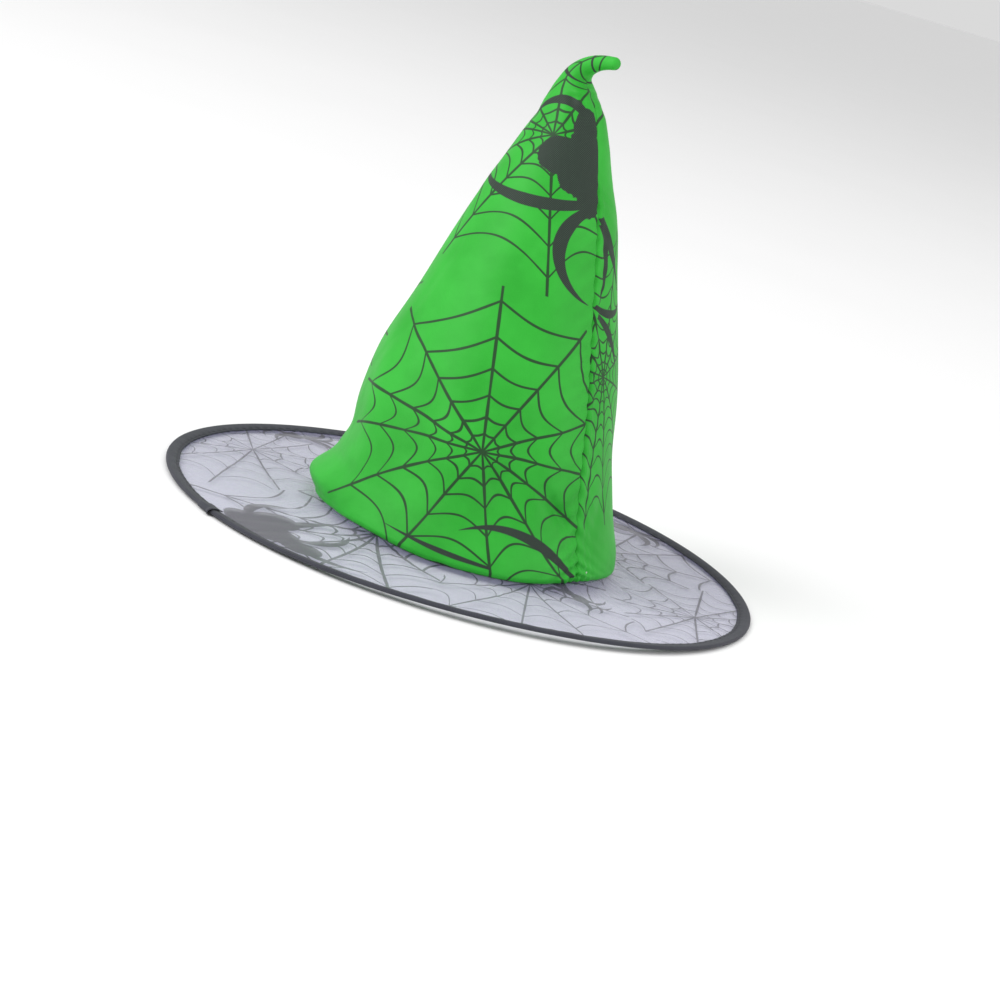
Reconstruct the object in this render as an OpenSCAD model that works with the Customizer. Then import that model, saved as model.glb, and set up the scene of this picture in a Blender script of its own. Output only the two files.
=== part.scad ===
// Costume witch hat: a tall cloth crown with a hooked tip on a flat sheer brim.
// Origin: centre of the head opening, on the plane that the brim rests on. +Z up, back seam at +Y.
// All sizes are in millimetres.

/* [Brim] */
// Outside diameter of the brim, over its binding
brim_d = 380; // [360:5:420]
// Width of the folded binding tape
binding_w = 8.5; // [7:0.5:12]
// Thickness of one layer of the binding tape
tape_t = 0.45; // [0.3:0.05:0.5]
// Diameter of the spring wire hoop in the binding
hoop_wire_d = 1.4; // [1:0.1:1.6]
// Thickness of the sheer brim cloth
organza_t = 0.3; // [0.2:0.05:0.35]

/* [Crown] */
// Outside radius of the crown cloth where it meets the brim
crown_base_r = 98.5; // [98.5:0.5:104]
// Height at which the crown's straight cone would close
crown_apex_z = 324; // [322:1:330]
// How far the crown's side bellies out past a straight cone
crown_belly = 9.5; // [9:0.5:11]
// How far the crown leans to the front, away from its back seam, in degrees
crown_lean = 1.35; // [0:0.05:1.4]
// Thickness of the crown cloth
crown_t = 0.7; // [0.5:0.1:0.8]
// Thickness of the stiff interlining inside the crown
interlining_t = 0.8; // [0.5:0.1:0.9]
// Height at which the interlining stops, short of the soft tip
interlining_top_z = 244; // [220:1:246]

/* [Head opening] */
// Inside radius of the sweatband, which is half of a 58 cm head's width
head_r = 92; // [88:0.5:92]
// Height of the sweatband ribbon
sweatband_h = 15; // [12:1:15]

/* [Tip] */
// Radius of the hook near its rounded end
tip_end_r = 4; // [3.5:0.1:4.5]
// How far the hook reaches behind the crown's axis
tip_reach = 20; // [16:1:23]

/* [Stitches] */
// Stitches along the binding
binding_stitch_count = 160; // [80:10:240]
// Stitches round the crown's base and round the sweatband
base_stitch_count = 110; // [60:10:160]
// Stitches up the back seam
seam_stitch_count = 60; // [30:5:80]
// Diameter of the sewing thread
thread_d = 0.35; // [0.25:0.05:0.4]

/* [Hidden] */
$fn = 96;

gap = 0.1;                                    // between layers of cloth
brim_r = brim_d / 2;

// The binding is a folded tape: a flat lower leaf, a round bend over the hoop and a sloping upper leaf.
bend_r = 1.6;
bend_c = [brim_r - bend_r, bend_r];
leaf_in_r = brim_r - binding_w;
leaf_edge_z = 1.7;                            // top of the upper leaf at its inner edge
ferrule_r = bend_r - tape_t - gap / 2;
ferrule_deg = 3.6;
hoop_gap_deg = 0.4;                           // the wire's two ends stand this far apart
lap_deg = -13;                                // where the binding's ends overlap
lap_span_deg = 4.4;
lap_t = 0.5;
lap_gap = 0.05;                               // between the lap and the leaf below it

// The sheer cloth runs from inside the binding to a collar that is turned up inside the crown.
organza_z = tape_t + gap;
organza_out_r = bend_c[0] - ferrule_r - 0.2;
collar_r = head_r + 1.5;
collar_top_z = 10;

// The crown stands on the sheer cloth. Its top rim opens round the root of the soft tip.
crown_foot_z = organza_z + organza_t + gap;
crown_rim_z = 262;
crown_steps = 30;
crown_start = 4;                              // how far below its foot a leaning shell starts
sweatband_z = 3.5;
sweatband_t = 0.6;
sweatband_top_z = sweatband_z + sweatband_h;
allowance_t = 1.2;                            // two layers of cloth, side by side
allowance_w = 8;
allowance_taper = 12;                         // height over which it widens from its foot
allowance_foot_z = sweatband_top_z + 2;
seam_steps = 24;
label_from_deg = 98;                          // just beside the back seam
label_w_deg = 18;
label_h = 26;
label_t = 0.3;

// The soft tip bends about a pivot inside the crown's rim.
pivot_z = 268;
ball_r = 19.5;
ball_rings = 5;
hook_rings = 15;
cap_rings = 4;
tip_sides = 28;
hook_from = 0.2;                              // where the hook's curve takes over from the ball
hook_curve = [[0, 262], [-12, 292], [-3, 303], [tip_reach, 307]];   // Bezier points in Y and Z
hook_root_r = 29;
hook_taper = 3.2;
cut_depth = 20;                               // of what is cut away below the leaning crown's foot
stitch_share = 0.66;                          // of the pitch that one stitch's length takes
thread_gap = 0.05;                            // between a thread and the cloth

// Outside radius of the crown at height z: a straight cone and a belly that fades out at both ends.
function crown_r(z) = crown_base_r * (1 - z / crown_apex_z) + crown_belly * sin(180 * z / crown_apex_z);
function interlining_in_r(z) = crown_r(z) - crown_t - gap - interlining_t;
function steps_between(low, high, n) = [for (i = [0:n]) low + (high - low) * i / n];
function reversed(list) = [for (i = [len(list) - 1:-1:0]) list[i]];
function arc(centre, r, from, to, n = 10) =
  [for (i = [0:n]) let (a = from + (to - from) * i / n) centre + r * [cos(a), sin(a)]];

// A point and a direction on the hook's curve, in Y and Z.
function bezier(p, t) =
  pow(1 - t, 3) * p[0] + 3 * pow(1 - t, 2) * t * p[1] + 3 * (1 - t) * t * t * p[2] + pow(t, 3) * p[3];
function bezier_way(p, t) =
  let (d = pow(1 - t, 2) * (p[1] - p[0]) + 2 * (1 - t) * t * (p[2] - p[1]) + t * t * (p[3] - p[2]))
  d / norm(d);
function hook_r(t) = tip_end_r + (hook_root_r - tip_end_r) * pow(1 - t, hook_taper);

// One ring of a tube: its middle and its axis are in the YZ plane.
function ring(middle, way, r) =
  [for (i = [0:tip_sides - 1]) let (a = 360 * i / tip_sides)
    [r * cos(a), middle[0] + r * sin(a) * way[1], middle[1] - r * sin(a) * way[0]]];

// The tip's rings from its round root to its round end, all moved in by inset.
function tip_rings(inset) = [
  for (i = [0:ball_rings - 1]) let (a = -68 + 58 * i / (ball_rings - 1), r = ball_r - inset)
    ring([0, pivot_z + r * sin(a)], [0, 1], r * cos(a)),
  for (t = steps_between(hook_from, 1, hook_rings))
    ring(bezier(hook_curve, t), bezier_way(hook_curve, t), hook_r(t) - inset),
  for (i = [1:cap_rings]) let (
      a = 80 * i / cap_rings,
      way = bezier_way(hook_curve, 1),
      r = tip_end_r - inset)
    ring(hook_curve[3] + r * sin(a) * way, way, r * cos(a))
];

module closed_tube(rings) {
  n = len(rings);
  m = len(rings[0]);
  polyhedron(
    points = [for (one = rings) each one],
    faces = concat(
      [[for (j = [0:m - 1]) j]],
      [[for (j = [m - 1:-1:0]) (n - 1) * m + j]],
      [for (i = [0:n - 2]) for (j = [0:m - 1]) let (k = (j + 1) % m) each [
        [i * m + j, (i + 1) * m + k, i * m + k],
        [i * m + j, (i + 1) * m + j, (i + 1) * m + k]
      ]]
    )
  );
}

// Everything above the brim leans with the crown.
module leaned() {
  rotate([crown_lean, 0, 0])
    children();
}

// A leaning shell between two depths inside the crown's outer surface, cut level at its foot.
module crown_layer(outer, inner, foot, high) {
  levels = steps_between(foot - crown_start, high, crown_steps);
  difference() {
    leaned()
      rotate_extrude()
        polygon(concat(
          [for (z = levels) [crown_r(z) - outer, z]],
          [for (z = reversed(levels)) [crown_r(z) - inner, z]]
        ));
    translate([-brim_r, -brim_r, foot - cut_depth])
      cube([brim_d, brim_d, cut_depth]);
  }
}

module stitch(length) {
  cylinder(h = length, d = thread_d, center = true, $fn = 16);
}

// A ring of stitches that lie along the circle.
module stitch_ring(count, r, z) {
  length = 2 * PI * r / count * stitch_share;
  for (i = [0:count - 1])
    rotate([0, 0, 360 * i / count])
      translate([r, 0, z])
        rotate([90, 0, 0])
          stitch(length);
}

module crown_panel() {
  color([0.27, 0.76, 0.28])
    crown_layer(0, crown_t, crown_foot_z, crown_rim_z);
}

module crown_interlining() {
  color([0.88, 0.88, 0.85])
    crown_layer(crown_t + gap, crown_t + gap + interlining_t, crown_foot_z + 0.5, interlining_top_z);
}

// The two edges of the crown's cloth stand inward as one fin behind the back seam.
module back_seam_allowance() {
  levels = steps_between(allowance_foot_z, interlining_top_z - 2, seam_steps);
  color([0.22, 0.6, 0.25])
    leaned()
      rotate([90, 0, 90])
        linear_extrude(height = allowance_t, center = true)
          polygon(concat(
            [for (z = levels) [interlining_in_r(z) - gap, z]],
            [for (z = reversed(levels)) let (wide = min(1, 0.25 + (z - allowance_foot_z) / allowance_taper))
              [interlining_in_r(z) - gap - allowance_w * wide, z]]
          ));
}

module back_seam_stitches() {
  low = allowance_foot_z + 6;
  pitch = (interlining_top_z - 10 - low) / seam_stitch_count;
  depth = 3.2;
  color([0.2, 0.55, 0.23])
    leaned()
      for (i = [0:seam_stitch_count - 1]) {
        z = low + pitch * (i + 0.5);
        lean = atan((interlining_in_r(z - 1) - interlining_in_r(z + 1)) / 2);
        for (side = [-1, 1])
          translate([side * (allowance_t / 2 + thread_d / 2 + thread_gap), interlining_in_r(z) - depth, z])
            rotate([lean, 0, 0])
              stitch(pitch * stitch_share);
      }
}

module crown_tip() {
  color([0.27, 0.76, 0.28])
    leaned()
      difference() {
        closed_tube(tip_rings(0));
        closed_tube(tip_rings(crown_t));
      }
}

module tip_filling() {
  color([0.93, 0.93, 0.9])
    leaned()
      closed_tube(tip_rings(crown_t + 0.25));
}

module sweatband() {
  color([0.1, 0.1, 0.11])
    translate([0, 0, sweatband_z])
      difference() {
        cylinder(h = sweatband_h, r = head_r + sweatband_t);
        translate([0, 0, -1])
          cylinder(h = sweatband_h + 2, r = head_r);
      }
}

// These lie in the channel between the sweatband and the brim's collar.
module sweatband_stitches() {
  color([0.08, 0.08, 0.09])
    stitch_ring(base_stitch_count, head_r + sweatband_t + thread_d / 2 + thread_gap, sweatband_z + 2.5);
}

// These lie between the brim's collar and the interlining.
module base_seam_stitches() {
  color([0.2, 0.55, 0.23])
    stitch_ring(base_stitch_count, collar_r + organza_t + thread_d / 2 + 2 * thread_gap, sweatband_z + 0.5);
}

module care_label() {
  low = sweatband_top_z + 0.5;
  back = 0.5;                                 // clear of the interlining
  color([0.95, 0.95, 0.93])
    leaned()
      rotate([0, 0, label_from_deg])
        rotate_extrude(angle = label_w_deg)
          polygon([
            [interlining_in_r(low) - back - label_t, low],
            [interlining_in_r(low) - back, low],
            [interlining_in_r(low + label_h) - back, low + label_h],
            [interlining_in_r(low + label_h) - back - label_t, low + label_h]
          ]);
}

module brim_organza() {
  color([0.55, 0.54, 0.6])
    rotate_extrude()
      polygon([
        [collar_r, organza_z],
        [organza_out_r, organza_z],
        [organza_out_r, organza_z + organza_t],
        [collar_r + organza_t, organza_z + organza_t],
        [collar_r + organza_t, collar_top_z],
        [collar_r, collar_top_z]
      ]);
}

module brim_hoop() {
  color([0.6, 0.61, 0.63])
    rotate([0, 0, lap_deg + hoop_gap_deg / 2])
      rotate_extrude(angle = 360 - hoop_gap_deg)
        translate(bend_c)
          circle(d = hoop_wire_d, $fn = 24);
}

module hoop_ferrule() {
  color([0.75, 0.75, 0.77])
    rotate([0, 0, lap_deg - ferrule_deg / 2])
      rotate_extrude(angle = ferrule_deg)
        translate(bend_c)
          difference() {
            circle(r = ferrule_r, $fn = 32);
            circle(r = hoop_wire_d / 2 + 0.05, $fn = 32);
          }
}

module brim_binding() {
  color([0.13, 0.13, 0.16])
    rotate_extrude()
      polygon(concat(
        [[leaf_in_r, 0]],
        arc(bend_c, bend_r, -90, 90),
        [[leaf_in_r, leaf_edge_z], [leaf_in_r, leaf_edge_z - tape_t]],
        arc(bend_c, bend_r - tape_t, 90, -90),
        [[leaf_in_r, tape_t]]
      ));
}

// Height of the binding's sloping upper leaf at radius r.
function leaf_top_z(r) = leaf_edge_z + (2 * bend_r - leaf_edge_z) * (r - leaf_in_r) / (bend_c[0] - leaf_in_r);

// The tape's cut end is folded under and sewn down over its beginning.
module binding_lap() {
  inner = leaf_in_r + 0.3;
  outer = bend_c[0] + 0.2;
  color([0.11, 0.11, 0.14])
    rotate([0, 0, lap_deg - lap_span_deg / 2])
      rotate_extrude(angle = lap_span_deg)
        polygon([
          [inner, leaf_top_z(inner) + lap_gap],
          [outer, leaf_top_z(outer) + lap_gap],
          [outer, leaf_top_z(outer) + lap_gap + lap_t],
          [inner, leaf_top_z(inner) + lap_gap + lap_t]
        ]);
}

// The row runs just outside the tape's inner edge, and leaves out the lap.
module binding_stitches() {
  r = leaf_in_r + 1.6;
  pitch = 360 / binding_stitch_count;
  clear = lap_span_deg / 2 + pitch;
  color([0.05, 0.05, 0.06])
    for (a = [lap_deg + clear:pitch:lap_deg + 360 - clear])
      rotate([0, 0, a])
        translate([r, 0, leaf_top_z(r) + thread_d / 2 + 2 * thread_gap])
          rotate([90, 0, 0])
            stitch(2 * PI * r / binding_stitch_count * stitch_share);
}

crown_panel();
crown_interlining();
back_seam_allowance();
back_seam_stitches();
crown_tip();
tip_filling();
sweatband();
sweatband_stitches();
base_seam_stitches();
care_label();
brim_organza();
brim_hoop();
hoop_ferrule();
brim_binding();
binding_lap();
binding_stitches();
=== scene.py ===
"""Looks of a costume witch hat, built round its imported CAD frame.

Metres, +Z up. The hat stands on z = 0, with its back seam and its hooked tip towards +Y.
"""
import math

import bpy
import numpy as np
from mathutils import Matrix, Vector


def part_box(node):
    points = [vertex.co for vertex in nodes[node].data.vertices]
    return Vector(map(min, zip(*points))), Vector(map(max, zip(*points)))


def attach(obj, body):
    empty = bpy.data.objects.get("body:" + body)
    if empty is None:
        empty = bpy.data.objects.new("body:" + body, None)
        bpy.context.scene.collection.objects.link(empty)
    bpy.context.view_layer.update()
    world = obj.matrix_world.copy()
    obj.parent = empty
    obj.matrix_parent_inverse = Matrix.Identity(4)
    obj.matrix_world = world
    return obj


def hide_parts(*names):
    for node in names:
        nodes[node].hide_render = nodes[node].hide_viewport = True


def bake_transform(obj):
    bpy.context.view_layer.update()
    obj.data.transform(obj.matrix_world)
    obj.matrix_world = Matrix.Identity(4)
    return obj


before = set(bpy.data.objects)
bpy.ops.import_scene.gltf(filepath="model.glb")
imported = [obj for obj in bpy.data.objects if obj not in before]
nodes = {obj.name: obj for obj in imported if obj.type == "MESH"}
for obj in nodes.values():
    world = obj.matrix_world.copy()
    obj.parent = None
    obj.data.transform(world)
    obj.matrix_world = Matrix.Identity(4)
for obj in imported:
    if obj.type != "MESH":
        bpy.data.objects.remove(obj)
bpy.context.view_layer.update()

MM = 0.001
DEG = math.pi / 180

# ---------------------------------------------------------------- sizes

BRIM_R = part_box("brim_binding")[1][0]
HEAD_R = 92 * MM
SEAM = 90                                     # degrees round from +X

# The crown: a cone with a belly, and a middle line that leans forward.
BASE_R = 98.5 * MM
APEX_Z = 324 * MM
BELLY = 9.5 * MM
HEM_Z = 4 * MM                                # where the rolled hem meets the side
HEM_LIFT_FADE = 26 * MM                       # how far up the side the foot's rise is felt
SHOULDER_Z = 255 * MM                         # where the hook's curve takes over
INTERLINING_IN, FIBRE_IN, FIN_IN = 1.0 * MM, 1.3 * MM, 2.0 * MM   # behind the cloth's face

# The hook's middle line and radius: y, z and radius in mm.
HOOK = (
    (-7.0, 255, 26.9),
    (-8.5, 266, 22.2),
    (-11.0, 277, 17.4),
    (-13.0, 286, 12.8),
    (-12.8, 293, 9.0),
    (-8.8, 299, 6.5),
    (-1.8, 303.4, 5.1),
    (5.5, 305.8, 4.3),
    (12.0, 307.0, 3.9),
)

# Buckles in the crown: degrees round, height, width in degrees, height span and how far out, in mm.
BUCKLES = (
    (-50, 16, 27, 8, 7.2),
    (-48, 1, 36, 5, -3.5),
    (-30, 32, 22, 5, -1.6),
    (-48, 48, 36, 15, -4.3),
    (-50, 104, 48, 28, 3.2),
    (130, 76, 36, 24, -2.2),
    (124, 17, 26, 17, 3.0),
    (128, 212, 40, 24, 1.8),
    (20, 34, 26, 16, -1.2),
    (62, 9, 30, 19, 3.2),
    (56, 52, 30, 18, -2.8),
    (60, 118, 30, 36, 0.9),
    (-120, 64, 34, 20, -2.2),
    (-140, 26, 30, 12, 1.8),
    (-170, 120, 44, 34, 1.6),
    (175, 40, 30, 18, -1.8),
    (-95, 150, 40, 30, -1.4),
)

# Long soft folds: degrees round at the middle, degrees of lean for each mm up, width in degrees,
# middle height, half length and how far out, in mm.
FOLDS = (
    (16, -0.30, 8, 68, 42, -2.9),
    (31, -0.22, 9, 60, 44, 2.3),
    (-18, -0.20, 10, 80, 45, 1.9),
    (54, 0.15, 8, 52, 36, -2.5),
    (72, 0.08, 7, 70, 50, 1.7),
    (42, -0.05, 11, 150, 45, -1.8),
    (152, 0.20, 9, 62, 40, -1.4),
    (200, 0.20, 10, 84, 42, -1.4),
    (236, -0.20, 9, 72, 40, 1.3),
    (272, 0.10, 10, 100, 45, -1.2),
)

# The flat brim: waves of its edge as (waves round, height in mm, degrees).
BRIM_WAVES = ((2, 1.45, 89.5), (3, 0.73, 197.5), (4, 0.28, 216.3))
BRIM_START = 99 * MM                          # where the brim leaves the crown's foot
FLAT_TO = 104 * MM                            # the brim is level as far out as this
BINDING_W = 8.5 * MM
BINDING_BEND = 1.35 * MM                      # radius of the tape's fold
TAPE_T = 0.45 * MM
LEAF_EDGE_Z = 1.35 * MM                       # top of the upper leaf at its inner edge
BINDING_IN = BRIM_R - BINDING_W
BEND_R = BRIM_R - BINDING_BEND
STITCHES = 160
STITCH_IN = 1.6 * MM                          # from the tape's inner edge
LAP_AT = -10                                  # degrees round to the tape's lapped end
COLLAR_R = 93.4 * MM


def cone_radius(z):
    share = z / APEX_Z
    return BASE_R * (1 - share) + BELLY * np.sin(np.pi * share)


def cone_middle(z):
    """Y of the crown's middle line at height z."""
    share = z / (300 * MM)
    return (-15 * share + 8 * share**2) * MM


def apart(angle, centre):
    """Degrees from centre to angle, from -180 to 180."""
    return (angle - centre + 180) % 360 - 180


def bump(x, width):
    return np.exp(-((x / width) ** 2))


def polar(radius, angle, height):
    """Points at these radii, degrees round and heights."""
    turn = angle * DEG
    return np.stack(np.broadcast_arrays(radius * np.cos(turn), radius * np.sin(turn), height), -1)


def smooth_through(points, steps):
    """Points along a Catmull-Rom curve through these points."""
    p = np.array(points, float)
    p = np.vstack([2 * p[0] - p[1], p, 2 * p[-1] - p[-2]])
    out = []
    for a, b, c, d in zip(p, p[1:], p[2:], p[3:]):
        for t in np.arange(steps) / steps:
            out.append(
                b
                + 0.5 * t * (c - a)
                + t * t * (a - 2.5 * b + 2 * c - 0.5 * d)
                + t**3 * (1.5 * (b - c) + 0.5 * (d - a))
            )
    out.append(p[-2])
    return np.array(out)


# ---------------------------------------------------------------- the crown's surface


class Axis:
    """The crown's middle line from the hem to the hook's end: one entry for each ring of the cloth."""

    def __init__(self, cone_rows=190, hook_steps=7, cap_rows=6):
        z = np.linspace(HEM_Z, SHOULDER_Z, cone_rows, endpoint=False)
        cone = np.stack([cone_middle(z), z, cone_radius(z)], -1)
        hook = smooth_through(HOOK, hook_steps) * MM
        line = np.vstack([cone, hook])
        way = np.gradient(line[:, :2], axis=0)
        way /= np.linalg.norm(way, axis=1)[:, None]
        settled = np.clip((line[:, 1] - SHOULDER_Z) / (14 * MM), 0, 1)[:, None]
        way = way * settled + np.array([0, 1.0]) * (1 - settled)
        # the rounded end
        end, end_way, end_r = hook[-1, :2], way[-1], hook[-1, 2]
        lift = np.sin(np.linspace(0, 90, cap_rows + 1)[1:] * DEG)
        cap = end + np.outer(lift * end_r * 0.85, end_way)
        cap_r = end_r * np.maximum(np.sqrt(1 - lift**2), 0.02)
        line = np.vstack([line, np.column_stack([cap, cap_r])])
        way = np.vstack([way, np.repeat(end_way[None], cap_rows, 0)])
        self.y, self.z, self.r = line.T
        self.way_y, self.way_z = (way / np.linalg.norm(way, axis=1)[:, None]).T
        step = np.linalg.norm(np.diff(line, axis=0), axis=1)
        self.run = np.concatenate([[0], np.cumsum(step)])
        self.hook_from = cone_rows


def soft_waves(angle, height):
    """Small random unevenness of sewn cloth, in mm."""
    rng = np.random.default_rng(5)
    total = 0 * angle * height
    for n in (2, 3, 4, 5, 7):
        tilt, phase = rng.uniform(-0.03, 0.03), rng.uniform(0, 6.28)
        total = total + 1.1 / n * np.sin(n * angle * DEG + tilt * height + phase)
    for _ in range(26):
        centre, up = rng.uniform(-270, 90), rng.uniform(15, 230)
        lean, span = rng.uniform(-0.9, 0.9), rng.uniform(14, 34)
        across = apart(angle, centre) * 1.3
        along = height - up
        off = across * math.cos(lean) + along * math.sin(lean)
        down = -across * math.sin(lean) + along * math.cos(lean)
        total = total + rng.uniform(-1.1, 0.7) * bump(off, 4.6) * bump(down, span)
    return total


def crown_relief(angle, height, radius):
    """How far the cloth stands out from the plain cone, in mm. Angles in degrees, the rest in mm."""
    out = soft_waves(angle, height) * (0.45 + 0.55 * np.exp(-height / 120))
    for centre, up, wide, tall, amount in BUCKLES:
        out = out + amount * bump(apart(angle, centre), wide) * bump(height - up, tall)
    above_band = np.clip((height - 16) / 28, 0, 1)
    for centre, lean, wide, up, tall, amount in FOLDS:
        off = apart(angle, centre + lean * (height - up))
        out = out + amount * bump(off, wide) * bump(height - up, tall) * above_band
    side = apart(angle, SEAM) * DEG * radius  # along the cloth from the seam
    near = np.exp(-np.abs(side) / 11)
    pucker = np.sin((height + 0.7 * np.abs(side)) * 0.62 + 2 * np.sin(height / 19))
    out = out + (0.5 + 1.1 * np.exp(-height / 30)) * near * pucker
    out = out - 1.2 * bump(side, 1.0) + 0.5 * bump(side - 3, 1.8)
    pleats = np.sin(side * 1.15 + height * 0.06) * bump(side + 1, 11)
    out = out + 1.3 * pleats * np.exp(-height / 20)
    slack = bump(side + 17, 12) * bump(height - 46 + 0.8 * (side + 17), 7)
    return out - 4.4 * slack


def hook_relief(angle, run):
    """Creases of the bent tip, in mm. run is along the hook from the shoulder."""
    inner = bump(apart(angle, 78), 52)
    ridges = np.sin(run * 0.74 + 1.2 * np.sin(angle * DEG * 2)) * bump(run - 33, 15)
    twist = np.sin(3 * angle * DEG + run * 0.16) * bump(run - 30, 20)
    fold = bump(apart(angle, 40) + (run - 24) * 2.2, 13) * bump(run - 22, 13)
    seam = bump(apart(angle, SEAM), 9) * np.clip(1 - run / 62, 0, 1)
    near_neck = bump(apart(angle, 55), 42) * bump(run - 18, 13)
    crumple = np.sin(angle * 0.16 + run * 0.42) * np.sin(angle * 0.09 - run * 0.33 + 1)
    twist = twist + 1.6 * crumple * near_neck
    creased = -1.25 * inner * (0.6 + 0.6 * ridges) * bump(run - 32, 22)
    return creased + 0.5 * twist - 1.4 * fold - 0.8 * seam


def crown_points(axis, rows, angle, inset):
    """The crown's surface at these rows of the axis, moved in by inset metres."""
    pick = lambda values: values[rows][:, None]
    angle = angle[None, :]
    height, radius = pick(axis.z) / MM, pick(axis.r) / MM
    in_hook = np.clip((pick(axis.run) - axis.run[axis.hook_from - 24]) / (26 * MM), 0, 1)
    run = (pick(axis.run) - axis.run[axis.hook_from]) / MM
    out = crown_relief(angle, height, radius) * (1 - in_hook) + hook_relief(angle, run) * in_hook
    limit = 0.35 * radius
    reach = pick(axis.r) + np.clip(out, -limit, limit) * MM - inset
    across, along = reach * np.cos(angle * DEG), reach * np.sin(angle * DEG)
    y = pick(axis.y) + along * pick(axis.way_z)
    return np.stack([across, y, pick(axis.z) - along * pick(axis.way_y)], -1)


def hem_lift(angle):
    """How far the crown's foot stands off the floor at this angle, in metres."""
    near_seam = 6.0 * bump(apart(angle, 98), 36)
    near_front = 3.6 * bump(apart(angle, -6), 30)
    waves = 0.7 * np.cos((angle - 10) * 2 * DEG) + 0.3 * np.sin(9 * angle * DEG)
    return (2.4 + waves + near_seam + near_front) * MM


def raise_foot(points, z, angle):
    """Lets the lower rows of the crown follow its foot's rise. z is each row's height."""
    fade = np.clip(1 - (z - HEM_Z) / HEM_LIFT_FADE, 0, 1) ** 2
    points[:, :, 2] += fade[:, None] * (hem_lift(angle) - 1.0 * MM)[None, :]


# ---------------------------------------------------------------- mesh helpers


def grid(name, points, closed=False, flip=False):
    """A smooth mesh object over rows x columns points. closed joins the last column to the first."""
    rows, cols = points.shape[:2]
    index = np.arange(rows * cols).reshape(rows, cols)
    left = index if closed else index[:, :-1]
    right = np.roll(index, -1, 1) if closed else index[:, 1:]
    quads = np.stack([left[:-1], right[:-1], right[1:], left[1:]], -1).reshape(-1, 4)
    if flip:
        quads = quads[:, ::-1]
    return mesh_object(name, points.reshape(-1, 3).tolist(), quads.tolist())


def mesh_object(name, verts, faces):
    mesh = bpy.data.meshes.new(name)
    mesh.from_pydata(verts, [], faces)
    mesh.polygons.foreach_set("use_smooth", np.ones(len(faces), bool))
    mesh.update()
    obj = bpy.data.objects.new(name, mesh)
    bpy.context.collection.objects.link(obj)
    return obj


def give(obj, name, vectors):
    """Stores one vector for each vertex, for the materials to read."""
    data = obj.data.attributes.new(name, "FLOAT_VECTOR", "POINT")
    data.data.foreach_set("vector", np.asarray(vectors, np.float32).reshape(-1))


def settle(obj, kind, **settings):
    """Puts a modifier on obj and applies it."""
    modifier = obj.modifiers.new(kind, kind)
    for name, value in settings.items():
        setattr(modifier, name, value)
    shown = obj.evaluated_get(bpy.context.evaluated_depsgraph_get())
    mesh = bpy.data.meshes.new_from_object(shown)
    obj.modifiers.clear()
    obj.data = mesh
    mesh.name = obj.name


def thicken(obj, depth, offset=-1):
    """Gives a sheet its real thickness."""
    settle(obj, "SOLIDIFY", thickness=depth, offset=offset)


def tube(points, radius, sides=8):
    """Rings of a tube along these points, as rings x sides points."""
    points = np.asarray(points, float)
    way = np.gradient(points, axis=0)
    way /= np.linalg.norm(way, axis=1)[:, None]
    side = np.cross(way, [0, 0, 1.0])
    side /= np.linalg.norm(side, axis=1)[:, None] + 1e-12
    up = np.cross(side, way)
    turn = np.arange(sides) * 2 * np.pi / sides
    radius = np.broadcast_to(radius, len(points))[:, None, None]
    ring = np.cos(turn)[None, :, None] * side[:, None] + np.sin(turn)[None, :, None] * up[:, None]
    return points[:, None] + radius * ring


def join(name, objects):
    with bpy.context.temp_override(
        active_object=objects[0], selected_editable_objects=objects, object=objects[0]
    ):
        bpy.ops.object.join()
    objects[0].name = name
    objects[0].data.name = name
    return objects[0]


def many_tubes(name, lines, radius, sides=8):
    """One mesh of separate closed tubes, one for each line of points."""
    verts, faces = [], []
    for line in lines:
        rings = tube(line, radius, sides)
        n = len(rings)
        base = len(verts)
        verts += rings.reshape(-1, 3).tolist()
        for i in range(n - 1):
            low, high = base + i * sides, base + (i + 1) * sides
            for j in range(sides):
                k = (j + 1) % sides
                faces.append([low + j, low + k, high + k, high + j])
        faces.append([base + j for j in reversed(range(sides))])
        faces.append([base + (n - 1) * sides + j for j in range(sides)])
    return mesh_object(name, verts, faces)


# ---------------------------------------------------------------- pieces of the crown

axis = Axis()
FLAT_TURN = 0.2846                            # flat degrees for each degree round the cone
APEX_RUN = BASE_R / FLAT_TURN                 # from the hem to the flat pattern's point


def on_cloth(back, up):
    """Place on the flat pattern, in mm, of a point back degrees from the seam and up mm high."""
    known = slice(0, axis.hook_from + 40)
    out = (APEX_RUN - np.interp(up * MM, axis.z[known], axis.run[known])) / MM
    turn = -(back % 360) * FLAT_TURN * DEG
    return (out * math.sin(turn), -out * math.cos(turn)), turn


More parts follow.
